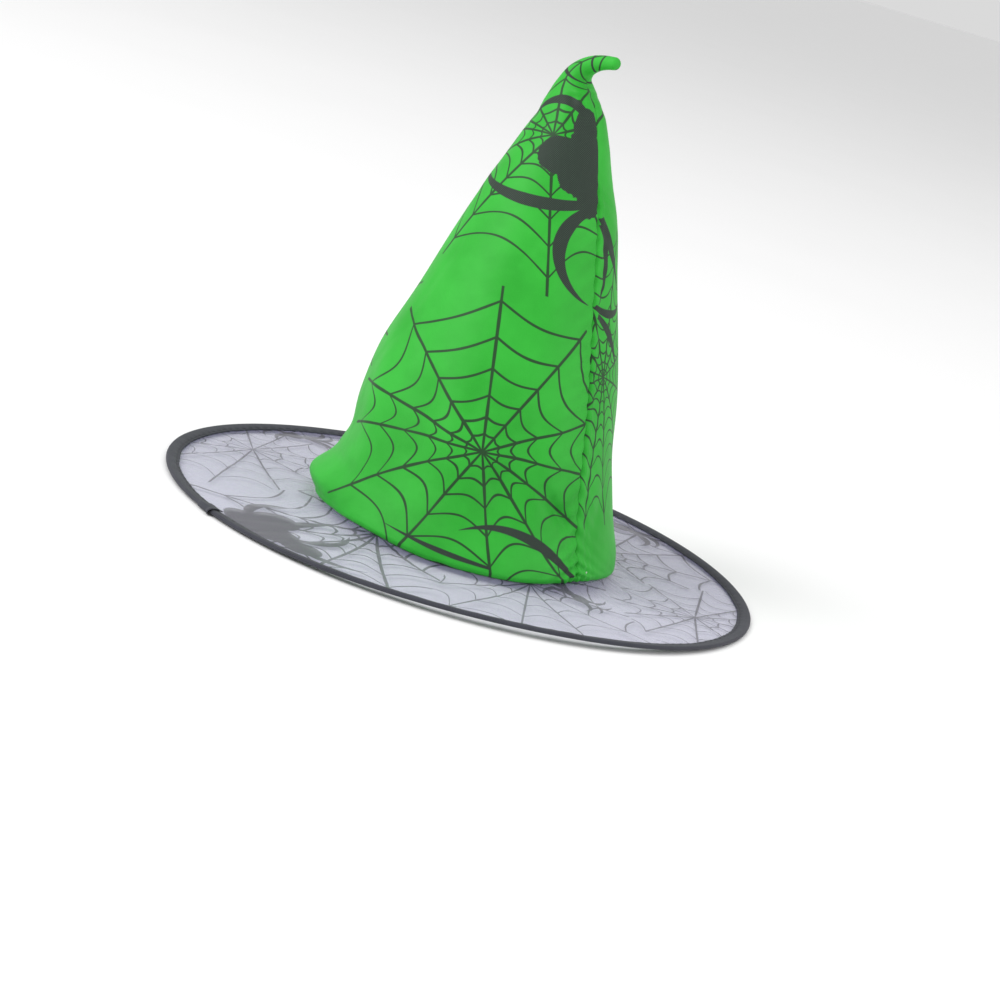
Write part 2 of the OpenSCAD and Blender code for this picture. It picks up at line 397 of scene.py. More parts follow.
def crown_cloth():
    u = np.linspace(0, 1, 340)
    # columns crowd together towards the seam
    angle = SEAM - 360 + 360 * (u - 0.6 / (2 * np.pi) * np.sin(2 * np.pi * u))
    side = crown_points(axis, np.arange(len(axis.z)), angle, 0)
    # the foot rises and rolls under, then runs up inside as a narrow hem
    raise_foot(side, axis.z, angle)
    middle = np.stack([0 * angle, 0 * angle + axis.y[0], side[0, :, 2]], -1)
    outward = side[0] - middle
    outward[:, 2] = 0
    outward /= np.linalg.norm(outward, axis=1)[:, None]
    upward = np.array([0, 0, 1.0])
    hem = []
    for turn in np.linspace(180, 12, 9) * DEG:
        inward = 1.6 * MM * (1 - math.cos(turn))
        down = 3 * MM * math.sin(turn)
        hem.append(side[0] - outward * inward - upward * down)
    strip = [hem[0] + upward * h * MM for h in (4.5, 3.0, 1.5)]
    points = np.stack(strip + hem + list(side))
    # both edges of the cloth turn in at the seam
    tuck = points[:, [0, -1]].copy()
    tuck[:, :, 0] += 0.05 * MM
    tuck[:, :, 1] -= 2.6 * MM * np.clip(np.linalg.norm(tuck[:, :, :2], axis=2) / (30 * MM), 0.1, 1)
    points = np.concatenate([tuck[:, :1], points, tuck[:, 1:]], 1)
    obj = grid("crown_cloth", points)
    # where each point lies on the flat pattern, in mm
    flat_run = np.concatenate([np.full(3, -8.0), np.linspace(-6, -0.5, 9), axis.run / MM])
    out = (APEX_RUN / MM - flat_run)[:, None]
    flat_angle = np.concatenate([[angle[0]], angle, [angle[-1]]])
    turn = (flat_angle - SEAM) * FLAT_TURN * DEG
    give(obj, "print", np.stack([out * np.sin(turn), -out * np.cos(turn), 0 * out * turn], -1))
    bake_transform(obj)
    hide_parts("crown_panel", "crown_tip")
    return obj


def interlining():
    rows = np.arange(2, int(np.searchsorted(axis.z, 244 * MM)), 3)
    angle = np.linspace(-180, 180, 161)[:-1] + SEAM
    points = crown_points(axis, rows, angle, INTERLINING_IN)
    raise_foot(points, axis.z[rows], angle)
    obj = grid("interlining", points, closed=True)
    thicken(obj, 0.6 * MM)
    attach(obj, "hat")
    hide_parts("crown_interlining")
    return obj


def seam_fin():
    """The crown's two raw edges, side by side behind the seam, pinked along their free edge."""
    z = np.arange(22, 243, 0.9)
    rows = np.searchsorted(axis.z, z * MM)
    wall = crown_points(axis, rows, np.array([SEAM + 0.0]), FIN_IN)[:, 0]
    depth = np.minimum(1, (z - 14) / 16) * 8.0
    pink = 0.7 * np.abs((z / 4.5) % 1 * 2 - 1)
    layers = []
    for side in (-1, 1):
        cols = []
        for share in np.linspace(0, 1, 9):
            spread = side * (0.28 + 0.9 * share**2 * (0.6 + 0.4 * np.sin(z / 11 + side)))
            sway = 0.5 * share * np.sin(z / 27 + 1)
            y = wall[:, 1] - share * (depth - pink) * MM
            cols.append(np.stack([(spread + sway) * MM, y, z * MM], -1))
        layer = grid("fin", np.stack(cols, 1), flip=side > 0)
        thicken(layer, 0.35 * MM, 0)
        layers.append(layer)
    obj = join("seam_edges", layers)
    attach(obj, "hat")
    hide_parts("back_seam_allowance")
    return obj


def tip_filling():
    """Loose fibre inside the hook, with a rounded end below."""
    first = int(np.searchsorted(axis.z, 252 * MM))
    rows = np.arange(first, len(axis.z) - 4, 2)
    angle = np.linspace(0, 360, 49)[:-1]
    points = crown_points(axis, rows, angle, FIBRE_IN)
    foot = points[0]
    middle = foot.mean(0)
    below = []
    for turn in np.array([88, 66, 44, 22]) * DEG:
        shrunk = middle + (foot - middle) * math.cos(turn)
        below.append(shrunk - np.array([0, 0, 5 * MM]) * math.sin(turn))
    above = [points[-1].mean(0) + (points[-1] - points[-1].mean(0)) * s for s in (0.6, 0.05)]
    points = np.concatenate([np.stack(below), points, np.stack(above)])
    obj = grid("tip_fibre", points, closed=True)
    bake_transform(obj)
    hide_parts("tip_filling")
    return obj


def sweatband():
    angle = np.linspace(0, 360, 361)[:-1] + SEAM
    turn = angle * DEG
    up = np.linspace(0, 1, 15)[:, None]
    sway = 0.16 * MM * np.sin(5 * turn + 1) + 0.1 * MM * np.sin(13 * turn)
    z = 3.7 * MM + 14.6 * MM * up + 0.35 * MM * np.sin(3 * turn)[None] * up
    ease = 0.5 * MM * (up - 0.25) ** 2  # the top edge stands a little off
    reach = HEAD_R + 0.25 * MM + sway[None] * up - ease
    obj = grid("sweatband_ribbon", polar(reach, angle, z), closed=True, flip=True)
    thicken(obj, 0.5 * MM, 1)
    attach(obj, "hat")
    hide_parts("sweatband")
    return obj


def care_label():
    """A blank loop of ribbon, folded at its free end."""
    cols = np.linspace(98, 116, 25)
    z = np.linspace(20, 45, 14)
    rows = np.searchsorted(axis.z, z * MM)
    outer, inner = (crown_points(axis, rows, cols, depth * MM) for depth in (2.1, 2.9))
    for layer in (outer, inner):
        layer[:, :, 2] = (z * MM)[:, None]
    curl = 0.8 * MM * np.sin(np.linspace(0, np.pi, 25))[None, :, None]
    toward = -inner / np.linalg.norm(inner[..., :2], axis=-1)[..., None]
    toward[..., 2] = 0
    loose = np.linspace(0, 1, 14)[:, None, None]
    inner = inner + toward * curl * loose
    fold = 0.5 * (inner[-1] + outer[-1]) + np.array([0, 0, 0.5 * MM])
    obj = grid("label_ribbon", np.concatenate([outer, fold[None], inner[::-1]]), flip=True)
    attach(obj, "hat")
    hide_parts("care_label")
    return obj


# ---------------------------------------------------------------- pieces of the brim


def edge_wave(angle):
    """Height of the brim's edge over its lowest point, before the floor is taken off, in mm."""
    return sum(size * np.cos((n * angle - turn) * DEG) for n, size, turn in BRIM_WAVES)


LOWEST = edge_wave(np.arange(0, 360, 1.0)).min()


def brim_lift(radius, angle):
    """How far the brim at this place stands over its resting plane, in metres."""
    out = np.clip((radius - FLAT_TO) / (BRIM_R - FLAT_TO), 0, 1)
    return (edge_wave(angle) - LOWEST) * MM * out


def ripples(angle, low, high, count, seed):
    """Uneven ripples round the brim, from about -1 to 1."""
    rng = np.random.default_rng(seed)
    waves = rng.integers(low, high, count)
    phases = rng.uniform(0, 2 * np.pi, count)
    sizes = rng.uniform(0.5, 1, count)
    total = sum(s * np.sin(n * angle * DEG + p) for n, p, s in zip(waves, phases, sizes))
    return total / np.sqrt((sizes**2).sum() / 2) / 1.6


def brim_cloth():
    cols = 900
    angle = np.arange(cols) * 360 / cols
    start = BRIM_START
    reach = start + (BEND_R - 0.9 * MM - start) * np.linspace(0.008, 1, 62) ** 1.15
    r = np.concatenate([[start], reach])[:, None] + 0 * angle[None]
    a = angle[None] + 0 * r
    inner = np.exp(-(r - start) / (13 * MM))
    outer = np.exp(-(BINDING_IN - r) / (8 * MM)) * (r < BINDING_IN) + (r >= BINDING_IN)
    span = np.clip((r - start) / (BINDING_IN - start), 0, 1)
    drawn = 0.62 + 0.5 * ripples(a, 4, 13, 6, 3)
    puckers = ripples(a, 48, 130, 16, 1) * drawn * np.exp(-(r - start) / (17 * MM)) * 0.75
    gathers = ripples(a, 90, 170, 14, 2) * outer * 0.28
    slack = ripples(a, 5, 15, 8, 4) * np.sin(np.pi * span) * 0.4
    long_creases = ripples(a + 6 * span, 24, 60, 10, 9) * np.sin(np.pi * span) ** 0.8 * 0.1
    rise = (hem_lift(a) - 1.1 * MM) * inner
    lift = brim_lift(r, a)
    uneven = puckers * (1 - 0.7 * inner) + gathers + slack + long_creases
    z = 0.95 * MM + rise + lift + uneven * MM
    low = np.where(r > BINDING_IN - 1 * MM, 0.6 * MM, 0.35 * MM)
    z = np.maximum(z, low + lift)
    inside = r > BINDING_IN - 2 * MM             # between the two leaves of the tape
    z = np.where(inside, np.minimum(z, lift + 0.82 * MM), z)
    out = polar(r, angle, z)
    # under the crown's hem the cloth turns up into a collar
    foot = out[0, :, 2]
    wobble = 0.12 * MM * ripples(angle, 48, 130, 16, 1)
    collar = []
    for further_out, up in ((0, 10), (0, 8), (0, 5.5), (0.2, 3.5), (0.9, 2.2), (2.6, 1.0)):
        height = foot + (up - 1.2) * 0.9 * MM if up > 2 else foot - 0.15 * MM
        collar.append(polar(COLLAR_R + further_out * MM + wobble, angle, height))
    obj = grid("brim_cloth", np.concatenate([np.stack(collar), out]), closed=True, flip=True)
    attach(obj, "hat")
    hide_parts("brim_organza")
    return obj


def stitch_share(angle):
    """0 between two stitches of the binding, 1 at the middle of one."""
    return np.abs(np.sin(angle * STITCHES / 2 * DEG))


def binding_edge(angle):
    """Radius of the tape's inner edge: uneven, and drawn in a little at each stitch."""
    uneven = 0.28 * ripples(angle, 7, 40, 9, 6)
    return BINDING_IN + (uneven + 0.3 * stitch_share(angle) - 0.1) * MM


def leaf_top(radius, angle):
    """Height of the binding's upper leaf, without the brim's lift."""
    edge = binding_edge(angle)
    share = np.clip((radius - edge) / (BEND_R - edge), 0, 1)
    pad = 0.3 * MM * np.sin(np.pi * share) * (1 + 0.3 * ripples(angle, 30, 90, 8, 8))
    from_row = (radius - edge - STITCH_IN) / (0.9 * MM)
    dip = 0.3 * MM * stitch_share(angle) * np.exp(-(from_row**2))
    return LEAF_EDGE_Z + (2 * BINDING_BEND - LEAF_EDGE_Z) * share + pad - dip


def binding():
    angles = np.arange(1280) * 360 / 1280
    bend = np.linspace(-90, 90, 9) * DEG
    thin = BINDING_BEND - TAPE_T

    def loop_at(angle):
        edge = binding_edge(angle)
        around = lambda reach, b: (BEND_R + reach * math.cos(b), BINDING_BEND + reach * math.sin(b))
        loop = [(edge, 0)]
        loop += [around(BINDING_BEND, b) for b in bend]
        loop += [(r, leaf_top(r, angle)) for r in np.linspace(BEND_R, edge, 10)[1:]]
        loop += [(edge, leaf_top(edge, angle) - TAPE_T)]
        loop += [around(thin, b) for b in bend[::-1]]
        loop = np.array(loop + [(edge, TAPE_T)])
        loop[:, 1] += brim_lift(loop[:, 0], angle)
        return loop

    rings = np.stack([loop_at(a) for a in angles])
    points = polar(rings[..., 0], angles[:, None], rings[..., 1])
    rows = points.transpose(1, 0, 2)
    rows = np.concatenate([rows, rows[:1]])
    obj = grid("binding", rows, closed=True, flip=True)
    settle(obj, "WELD", merge_threshold=0.002 * MM)
    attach(obj, "hat")
    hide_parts("brim_binding")
    return obj


def binding_lap():
    """The tape's end, folded under and lapped over its beginning, with one corner standing out."""
    angle = np.linspace(LAP_AT - 2.3, LAP_AT + 2.3, 26)
    bend = np.linspace(75, -55, 8) * DEG
    paths = []
    for a in angle:
        end = bump(a - LAP_AT - 2.3, 0.9)
        puff = 0.25 + 0.25 * bump(a - LAP_AT, 1.6) + 0.5 * bump(a - LAP_AT - 2.0, 0.5)
        top = np.linspace(binding_edge(a) - 0.2 * MM, BEND_R, 8)
        out = BINDING_BEND + (puff + 1.8 * end) * MM
        over = BINDING_BEND + puff * MM
        path = [(r, leaf_top(r, a) + puff * MM) for r in top]
        path += [(BEND_R + out * math.cos(b), BINDING_BEND + over * math.sin(b)) for b in bend]
        path = np.array(path)
        path[:, 1] += brim_lift(path[:, 0], a)
        paths.append(path)
    rings = np.stack(paths)
    obj = grid("binding_end", polar(rings[..., 0], angle[:, None], rings[..., 1]))
    thicken(obj, 0.35 * MM, 1)
    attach(obj, "hat")
    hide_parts("binding_lap")
    return obj


def binding_stitches():
    lines = []
    step = 360 / STITCHES
    for i in range(STITCHES):
        middle = (i + 0.5) * step
        if abs(apart(middle, LAP_AT)) < 2.6:
            continue
        skew = 0.12 * MM * math.sin(i * 2.4)
        line = []
        for share in np.linspace(-0.4, 0.4, 7):
            a = middle + share * step
            r = binding_edge(middle) + STITCH_IN + skew * share
            sink = 0.35 * MM * (abs(share) / 0.4) ** 4
            line.append(polar(r, a, leaf_top(r, a) + brim_lift(r, a) + 0.12 * MM - sink))
        lines.append(line)
    obj = many_tubes("edge_stitches", lines, 0.19 * MM)
    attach(obj, "hat")
    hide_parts("binding_stitches")
    return obj


def hoop_line(angles):
    return polar(BEND_R, angles, BINDING_BEND + brim_lift(BEND_R, angles))


def hoop():
    ring = hoop_line(np.linspace(LAP_AT + 0.2, LAP_AT + 359.8, 720))
    wire = many_tubes("hoop_wire", [ring], 0.65 * MM, 10)
    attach(wire, "hat")
    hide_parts("brim_hoop")
    crimp = 0.86 - 0.1 * bump(np.linspace(-1, 1, 24) % 0.9 - 0.45, 0.16)
    over_ends = hoop_line(np.linspace(LAP_AT - 1.8, LAP_AT + 1.8, 24))
    sleeve = many_tubes("hoop_sleeve", [over_ends], crimp * MM, 20)
    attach(sleeve, "hat")
    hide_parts("hoop_ferrule")
    return wire, sleeve


# ---------------------------------------------------------------- material helpers


class Graph:
    """Short ways to add nodes. A value is a number, a tuple or another node's output."""

    def __init__(self, tree):
        self.tree = tree

    def feed(self, socket, value):
        if isinstance(value, bpy.types.NodeSocket):
            self.tree.links.new(value, socket)
        else:
            socket.default_value = value

    def add(self, kind, inputs=None, **settings):
        node = self.tree.nodes.new(kind)
        for name, value in settings.items():
            setattr(node, name, value)
        for name, value in (inputs or {}).items():
            self.feed(node.inputs[name], value)
        return node

    def do(self, operation, *values):
        node = self.add("ShaderNodeMath", operation=operation)
        for socket, value in zip(node.inputs, values):
            self.feed(socket, value)
        return node.outputs[0]

    def times(self, a, b):
        return self.do("MULTIPLY", a, b)

    def plus(self, a, b):
        return self.do("ADD", a, b)

    def minus(self, a, b):
        return self.do("SUBTRACT", a, b)

    def gap(self, a, b):
        return self.do("ABSOLUTE", self.minus(a, b))

    def vec(self, operation, *values):
        node = self.add("ShaderNodeVectorMath", operation=operation)
        for socket, value in zip(node.inputs, values):
            self.feed(socket, value)
        return node.outputs["Value"] if operation == "LENGTH" else node.outputs[0]

    def split(self, place):
        """The three coordinates of a place."""
        return self.add("ShaderNodeSeparateXYZ", {"Vector": place}).outputs

    def where(self):
        """The place in the object's own space, in metres."""
        return self.add("ShaderNodeTexCoord").outputs["Object"]

    def ramp(self, value, low, high, to_low=0.0, to_high=1.0):
        node = self.add("ShaderNodeMapRange")
        for name, v in (("Value", value), ("From Min", low), ("From Max", high),
                        ("To Min", to_low), ("To Max", to_high)):
            self.feed(node.inputs[name], v)
        return node.outputs[0]

    def mix(self, share, a, b):
        node = self.add("ShaderNodeMix", data_type="RGBA")
        for index, value in ((0, share), (6, a), (7, b)):
            self.feed(node.inputs[index], value)
        return node.outputs[2]

    def noise(self, place, scale, detail=2.0, rough=0.5):
        facts = {"Vector": place, "Scale": scale, "Detail": detail, "Roughness": rough}
        return self.add("ShaderNodeTexNoise", facts).outputs[0]

    def wave(self, place, scale, direction="X", distortion=0.0):
        node = self.add(
            "ShaderNodeTexWave",
            {"Vector": place, "Scale": scale, "Distortion": distortion, "Detail": 1.0},
            bands_direction=direction,
        )
        return node.outputs["Fac"]


def group(name, inputs, build):
    """A node group. inputs is {name: default}; build(graph, sockets) returns the output value."""
    tree = bpy.data.node_groups.new(name, "ShaderNodeTree")
    for key, value in inputs.items():
        kind = "NodeSocketVector" if isinstance(value, tuple) else "NodeSocketFloat"
        socket = tree.interface.new_socket(key, in_out="INPUT", socket_type=kind)
        socket.default_value = value
    tree.interface.new_socket("Ink", in_out="OUTPUT", socket_type="NodeSocketFloat")
    graph = Graph(tree)
    start = graph.add("NodeGroupInput")
    end = graph.add("NodeGroupOutput")
    graph.feed(end.inputs["Ink"], build(graph, start.outputs))
    return tree


def stamp(graph, tree, **inputs):
    """One use of a print group, as its ink value."""
    node = graph.add("ShaderNodeGroup", node_tree=tree)
    for name, value in inputs.items():
        graph.feed(node.inputs[name], value)
    return node.outputs["Ink"]


def most(graph, values):
    total = values[0]
    for value in values[1:]:
        total = graph.do("MAXIMUM", total, value)
    return total


def local(graph, s):
    """The point in a motif's own frame: moved, turned and scaled."""
    moved = graph.vec("SUBTRACT", s["Point"], s["Centre"])
    turned = graph.add("ShaderNodeVectorRotate", {"Vector": moved}, rotation_type="Z_AXIS")
    graph.feed(turned.inputs["Angle"], graph.times(s["Turn"], -1.0))
    return turned.outputs[0]


# Radius of a web's ring number k, in mm before scaling: RING_C + RING_B k + RING_A k^2.
RING_A, RING_B, RING_C = 1.45, 5.45, 4.1
# Directions of a web's spokes, in degrees clockwise from its top.
SPOKES = (-153, -115, -89, -73, -44, -7, 25, 59, 85, 109, 132, 162)
# How deep the rings sag between each spoke and the next, as a share of their distance from the hub.
SAGS = (0.19, 0.2, 0.15, 0.16, 0.1, 0.1, 0.16, 0.2, 0.16, 0.2, 0.18, 0.2)
INK_EDGE = 0.16                               # half the soft edge of a printed line, in mm


def curve(g, value, points):
    """A value read off a line through these points."""
    low, high = points[0][0], points[-1][0]
    least = min(y for _, y in points)
    most_of = max(y for _, y in points) - least
    node = g.add("ShaderNodeFloatCurve")
    line = node.mapping.curves[0]
    spots = [((x - low) / (high - low), (y - least) / most_of) for x, y in points]
    line.points[0].location, line.points[1].location = spots[0], spots[-1]
    for spot in spots[1:-1]:
        line.points.new(*spot)
    for point in line.points:
        point.handle_type = "VECTOR"
    node.mapping.update()
    g.feed(node.inputs["Value"], g.ramp(value, low, high))
    return g.plus(g.times(node.outputs[0], most_of), least)


def web_nodes(g, s):
    """A web of uneven spokes, whose rings sag towards the hub between one spoke and the next."""
    at = local(g, s)
    x, y, _ = g.split(at)
    rho = g.vec("LENGTH", at)
    angle = g.times(g.do("ARCTAN2", x, y), 180 / math.pi)
    count = len(SPOKES)
    knots = [(SPOKES[-1] - 360, -1)] + list(zip(SPOKES, range(count))) + [(SPOKES[0] + 360, count)]
    sector = curve(g, angle, knots)
    nearest = g.do("ROUND", sector)
    off = g.gap(sector, nearest)
    spoke_at = curve(g, nearest, [(y, x) for x, y in knots])
    to_spoke = g.times(g.gap(angle, spoke_at), g.times(rho, math.pi / 180))
    u = g.times(off, 2.0)
    hang = g.times(u, g.minus(2.0, u))
    between = g.do("WRAP", g.do("FLOOR", sector), float(count), 0.0)
    sag = curve(g, between, list(enumerate(SAGS)))
    shrink = g.minus(1.0, g.times(hang, sag))
    reach = g.do("DIVIDE", g.do("DIVIDE", rho, shrink), s["Scale"])
    # the ring number k at this place, from the formula for its radius
    under_root = g.plus(RING_B**2 - 4 * RING_A * RING_C, g.times(reach, 4 * RING_A))
    root = g.do("SQRT", g.do("MAXIMUM", under_root, 0.0))
    k = g.do("DIVIDE", g.minus(root, RING_B), 2 * RING_A)
    ring = g.do("ROUND", k)
    to_ring = g.times(g.gap(k, ring), g.times(root, s["Scale"]))
    not_past = g.do("LESS_THAN", ring, g.plus(s["Rings"], 0.5))
    is_ring = g.times(g.do("GREATER_THAN", ring, 0.5), not_past)
    # each spoke ends its own distance past the last ring
    uneven = g.do("SINE", g.times(g.do("WRAP", nearest, float(count), 0.0), 1.9))
    last = g.plus(s["Rings"], g.plus(0.62, g.times(0.32, uneven)))
    is_spoke = g.do("LESS_THAN", k, last)
    half = g.times(s["Line"], g.ramp(g.noise(s["Point"], 0.05, 1.0), 0.3, 0.7, 0.82, 1.18))
    half = g.times(half, g.ramp(rho, 0.0, 14.0, 0.6, 1.0))
    inks = []
    for off, shown in ((to_ring, is_ring), (to_spoke, is_spoke)):
        ink = g.ramp(off, g.plus(half, INK_EDGE), g.minus(half, INK_EDGE))
        inks.append(g.times(ink, shown))
    return most(g, inks)


def stroke_nodes(g, s):
    """A leg: an arc about Centre that is thick at its start and pointed at its end."""
    at = g.vec("SUBTRACT", s["Point"], s["Centre"])
    x, y, _ = g.split(at)
    rho = g.vec("LENGTH", at)
    angle = g.do("ARCTAN2", y, x)
    turned = g.times(g.minus(angle, s["Start"]), s["Way"])
    along = g.do("DIVIDE", g.do("WRAP", turned, 2 * math.pi, 0.0), s["Span"])
    taper = g.do("POWER", g.ramp(along, 1.0, 0.45), 0.8)
    root = g.ramp(along, 0.0, 0.3, 0.6, 1.0)
    half = g.times(s["Width"], g.times(taper, root))
    off = g.gap(rho, s["Radius"])
    ink = g.ramp(g.minus(off, half), INK_EDGE, -INK_EDGE)
    return g.times(ink, g.do("LESS_THAN", along, 0.995))


ORIGIN = (0, 0, 0)
web_tree = group(
    "spider web",
    {"Point": ORIGIN, "Centre": ORIGIN, "Turn": 0.0, "Scale": 1.0, "Rings": 6.0, "Line": 0.7},
    web_nodes,
)
stroke_tree = group(
    "leg stroke",
    {
        "Point": ORIGIN, "Centre": ORIGIN, "Radius": 20.0, "Start": 0.0, "Way": 1.0, "Span": 1.0,
        "Width": 3.0,
    },
    stroke_nodes,
)

# Each pair of legs of a spider in its own frame, body 10 long: centre, radius, start and span in
# degrees, half width.
LEGS = (
    ((9, 9), 9, 215, -150, 1.5),
    ((13, 3), 11, 190, -140, 1.6),
    ((12, -6), 10, 160, 140, 1.6),
    ((8, -12), 10, 140, 150, 1.5),
)


# The two halves of its body, as centre and half sizes.
BODY = (((0, -4.5, 0), (4.6, 6.2)), ((0, 3.2, 0), (3.0, 3.2)))


def stroke(graph, place, centre, radius, start, way, span, width):
    """Ink of one leg. start and span are in radians; way is 1 or -1."""
    return stamp(
        graph, stroke_tree, Point=place, Centre=(*centre, 0), Radius=float(radius), Start=start,
        Way=float(way), Span=span, Width=float(width),
    )


def oval(graph, place, centre, half_sizes, turn=0.0):
    """How far out a place is in an ellipse: 1 on its outline."""
    at = graph.vec("SUBTRACT", place, centre)
    if turn:
        about_z = graph.add(
            "ShaderNodeVectorRotate", {"Vector": at, "Angle": -turn}, rotation_type="Z_AXIS"
        )
        at = about_z.outputs[0]
    return graph.vec("LENGTH", graph.vec("DIVIDE", at, (*half_sizes, 1)))


def spider_nodes(g, s):
    """A whole spider, the same on its left and right."""
    x, y, _ = g.split(g.vec("DIVIDE", local(g, s), s["Size"]))
    folded = g.add("ShaderNodeCombineXYZ", {"X": g.do("ABSOLUTE", x), "Y": y}).outputs[0]
    inks = [g.ramp(oval(g, folded, centre, half), 1.03, 0.97) for centre, half in BODY]
    for centre, radius, start, span, width in LEGS:
        way = math.copysign(1, span)
        inks.append(stroke(g, folded, centre, radius, start * DEG, way, abs(span) * DEG, width))
    return most(g, inks)


spider_tree = group(
    "spider", {"Point": ORIGIN, "Centre": ORIGIN, "Turn": 0.0, "Size": (1, 1, 1)}, spider_nodes
)


def new_material(name):
    material = bpy.data.materials.new(name)
    material.use_nodes = True
    tree = material.node_tree
    shader = tree.nodes["Principled BSDF"]
    return material, Graph(tree), shader


def attribute(graph, name):
    return graph.add("ShaderNodeAttribute", attribute_name=name).outputs["Vector"]


def bump_into(graph, shader, height, strength, distance):
    node = graph.add("ShaderNodeBump", {"Strength": strength, "Distance": distance, "Height": height})
    graph.feed(shader.inputs["Normal"], node.outputs[0])


# ---------------------------------------------------------------- the crown's printed cloth

# Webs on the crown: degrees back from the seam, height in mm, turn in degrees, scale, rings.
CROWN_WEBS = (
    (48.5, 72, 0, 1.01, 6),
    (69, 257, 0, 0.76, 7),
    (349, 127, 100, 0.5, 9),
    (190, 98, 200, 0.8, 6),
    (236, 52, 60, 0.95, 6),
    (290, 120, 150, 0.85, 6),
    (226, 188, 20, 0.75, 6),
)
# Whole spiders: degrees back from the seam, height, turn in degrees, size.
CROWN_SPIDERS = (
    (160, 34, 160, 1.4),
    (186, 160, 25, 1.9),
    (290, 34, -150, 1.6),
    (268, 205, 10, 1.3),
)
# Thick legs, each through three points as (degrees back from the seam, height), and half its
# width in mm.
CROWN_LEGS = (
    ((16, 262), (74, 277), (134, 259), 3.2),
    ((4, 226), (58, 218), (156, 226), 3.8),
    ((2, 222), (33, 197), (5, 167), 4.0),
    ((36, 7), (57, 10), (78, 13), 1.9),
    ((3, 5), (22, 29), (50, 25), 3.1),
    ((-3, 218), (-17, 201), (-34, 178), 3.2),
    ((-3, 214), (-10, 190), (-3, 168), 2.2),
    ((-1, 167), (-20, 163), (-41, 169), 2.6),
    ((-3, 162), (-16, 152), (-28, 130), 2.8),
)
# The dark body of the big spider at the top, as ellipses: back, height, half width and half height.
CROWN_BODY = (
    (54, 247, 11.5, 11.5),
    (22, 246, 12.0, 22.0),
    (32, 240, 9.5, 13.5),
    (12, 230, 8.0, 15.0),
    (22, 262, 8.0, 12.0),
)
# Bands round the hook: distance from the flat pattern's point, and half width, in mm.
CROWN_BANDS = ((44, 1.0), (27, 0.8))
BANDS_ABOUT = (3, 0, 0)                       # their middle on the flat pattern


def arc_through(a, b, c):
    """Centre, radius, start, way and span of the arc from a through b to c."""
    a, b, c = (np.array(p, float) for p in (a, b, c))
    x, y = np.linalg.solve([2 * (b - a), 2 * (c - a)], [b @ b - a @ a, c @ c - a @ a])
    start, middle, end = (math.atan2(p[1] - y, p[0] - x) for p in (a, b, c))
    whole = 2 * math.pi
    way = 1 if (middle - start) % whole < (end - start) % whole else -1
    radius = math.hypot(a[0] - x, a[1] - y)
    return (float(x), float(y)), radius, start, way, (way * (end - start)) % whole


def leg_ink(graph, place, a, b, c, width):
    return stroke(graph, place, *arc_through(a, b, c), width)


def crown_strokes(graph, place):
    """The big spider at the top, cut off by the seam, and legs that reach in from elsewhere."""
    inks = []
    for a, b, c, width in CROWN_LEGS:
        inks.append(leg_ink(graph, place, *(on_cloth(*point)[0] for point in (a, b, c)), width))
    ragged = graph.times(graph.minus(graph.noise(place, 0.35, 2.0), 0.5), 0.2)
    for back, up, wide, tall in CROWN_BODY:
        centre, turn = on_cloth(back, up)
        off = oval(graph, place, (*centre, 0), (wide, tall), turn)
        inks.append(graph.ramp(graph.plus(off, ragged), 1.02, 0.98))
    from_point = graph.vec("LENGTH", graph.vec("SUBTRACT", place, BANDS_ABOUT))
    for out, half in CROWN_BANDS:
        off = graph.gap(from_point, float(out))
        inks.append(graph.ramp(off, half + 0.2, half - 0.2))
    return inks


def nearest(graph, place, tree, motifs):
    """Ink of the nearest of these motifs. Each is its reach, by which its distance is divided,
    and the values of its print group's inputs. Only one group is drawn, which keeps it light."""
    best, chosen = None, {}
    for reach, facts in motifs:
        far = graph.vec("LENGTH", graph.vec("SUBTRACT", place, facts["Centre"]))
        if reach != 1:
            far = graph.do("DIVIDE", far, reach)
        if best is None:
            best, chosen = far, dict(facts)
            continue
        nearer = graph.do("LESS_THAN", far, best)
        best = graph.do("MINIMUM", far, best)
        for name, value in facts.items():
            kind, first, out = ("VECTOR", 4, 1) if isinstance(value, tuple) else ("FLOAT", 2, 0)
            node = graph.add("ShaderNodeMix", data_type=kind)
            for index, v in ((0, nearer), (first, chosen[name]), (first + 1, value)):
                graph.feed(node.inputs[index], v)
            chosen[name] = node.outputs[out]
    return stamp(graph, tree, Point=place, **chosen)


def web(centre, turn, scale, rings, line):
    """A web for nearest(). A large web reaches further than a small one."""
    size = scale * (RING_C + RING_B * rings + RING_A * rings**2)
    facts = zip(("Turn", "Scale", "Rings", "Line"), map(float, (turn, scale, rings, line)))
    return size**0.7, {**dict(facts), "Centre": (*centre, 0)}


def spider(centre, turn, size):
    """A spider for nearest()."""
    return 1, {"Centre": (*centre, 0), "Turn": float(turn), "Size": (size, size, size)}


def crown_ink(graph, place):
    """Ink of the thin web lines, and ink of the legs and bodies."""
    webs = []
    for back, up, turned, scale, rings in CROWN_WEBS:
        centre, turn = on_cloth(back, up)
        webs.append(web(centre, turn + turned * DEG, scale, rings, 0.88 * scale**0.3))
    spiders = []
    for back, up, turned, size in CROWN_SPIDERS:
        centre, turn = on_cloth(back, up)
        spiders.append(spider(centre, turn + turned * DEG, size))
    whole = nearest(graph, place, spider_tree, spiders)
    solid = most(graph, crown_strokes(graph, place) + [whole])
    return nearest(graph, place, web_tree, webs), solid


def weave(graph, place, per_mm):
    """A plain weave: threads of about 1 / per_mm over and under each other, from 0 to 1."""
    scale = per_mm * math.pi
    across, along = (graph.do("SINE", graph.times(part, scale)) for part in graph.split(place)[:2])
    return graph.plus(0.5, graph.times(graph.times(across, along), 0.5))


